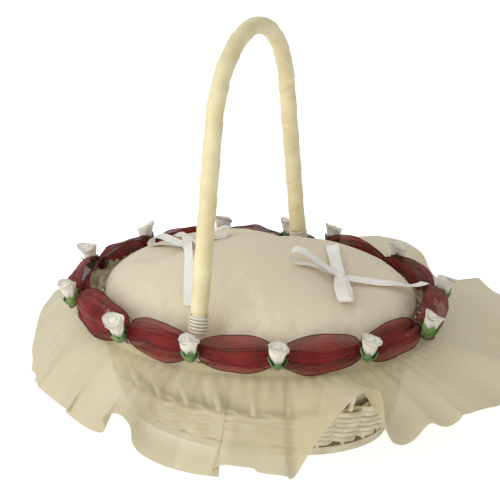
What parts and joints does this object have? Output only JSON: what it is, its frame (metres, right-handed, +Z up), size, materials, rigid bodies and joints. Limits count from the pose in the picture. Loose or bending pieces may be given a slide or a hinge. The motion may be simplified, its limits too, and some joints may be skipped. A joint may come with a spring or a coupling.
{
  "type": "flower girl basket",
  "caption": "Oval white wicker basket with a ribbon-wrapped hoop handle, gathered organza skirt, burgundy puff garland with rosebuds and a loose crowned cushion with satin bows.",
  "frame": {"origin": "on the table under the middle of the base", "axes": "X along the oval, Y across it from the front leg of the handle to the rear one, Z up"},
  "size_m": [0.426, 0.3844, 0.3265],
  "materials": {
    "wicker": "white painted willow rods",
    "handle_cane": "white painted cane",
    "handle_ribbon": "ivory satin ribbon, spirally wrapped",
    "lashing": "white split cane",
    "skirt_organza": "sheer stiff ivory organza",
    "garland_organza": "sheer burgundy organza ribbon",
    "petal": "white cloth petals",
    "leaf": "green cloth leaves",
    "tie_thread": "green floral thread",
    "cushion_cloth": "fine ribbed ivory cotton",
    "filling": "loose polyester fibre",
    "satin": "white satin ribbon"
  },
  "bodies": {
    "basket": {"foot_hoop": "wicker", "base_slats": "wicker", "base_weave": "wicker", "stakes": "wicker", "side_weave": "wicker", "upper_weave": "wicker", "rim_border": "wicker", "handle_core": "handle_cane", "handle_ribbon": "handle_ribbon", "lashing_front": "lashing", "lashing_back": "lashing", "skirt_heading": "skirt_organza", "skirt": "skirt_organza", "garland_ties": "tie_thread", "puff_01": "garland_organza", "puff_02": "garland_organza", "puff_03": "garland_organza", "puff_04": "garland_organza", "puff_05": "garland_organza", "puff_06": "garland_organza", "puff_07": "garland_organza", "puff_08": "garland_organza", "puff_09": "garland_organza", "puff_10": "garland_organza", "puff_11": "garland_organza", "puff_12": "garland_organza", "puff_13": "garland_organza", "rosebud_01": "petal", "rosebud_02": "petal", "rosebud_03": "petal", "rosebud_04": "petal", "rosebud_05": "petal", "rosebud_06": "petal", "rosebud_07": "petal", "rosebud_08": "petal", "rosebud_09": "petal", "rosebud_10": "petal", "rosebud_11": "petal", "rosebud_12": "petal", "rosebud_13": "petal", "calyx_01": "leaf", "calyx_02": "leaf", "calyx_03": "leaf", "calyx_04": "leaf", "calyx_05": "leaf", "calyx_06": "leaf", "calyx_07": "leaf", "calyx_08": "leaf", "calyx_09": "leaf", "calyx_10": "leaf", "calyx_11": "leaf", "calyx_12": "leaf", "calyx_13": "leaf"},
    "cushion": {"cushion_top": "cushion_cloth", "cushion_bottom": "cushion_cloth", "cushion_filling": "filling", "bow_left": "satin", "bow_left_knot": "satin", "bow_right": "satin", "bow_right_knot": "satin"}
  },
  "joints": [
    {"name": "cushion_lift", "type": "slide", "parent": "basket", "child": "cushion", "axis": [0, 0, 1], "range_m": [0, 0.05]}
  ]
}
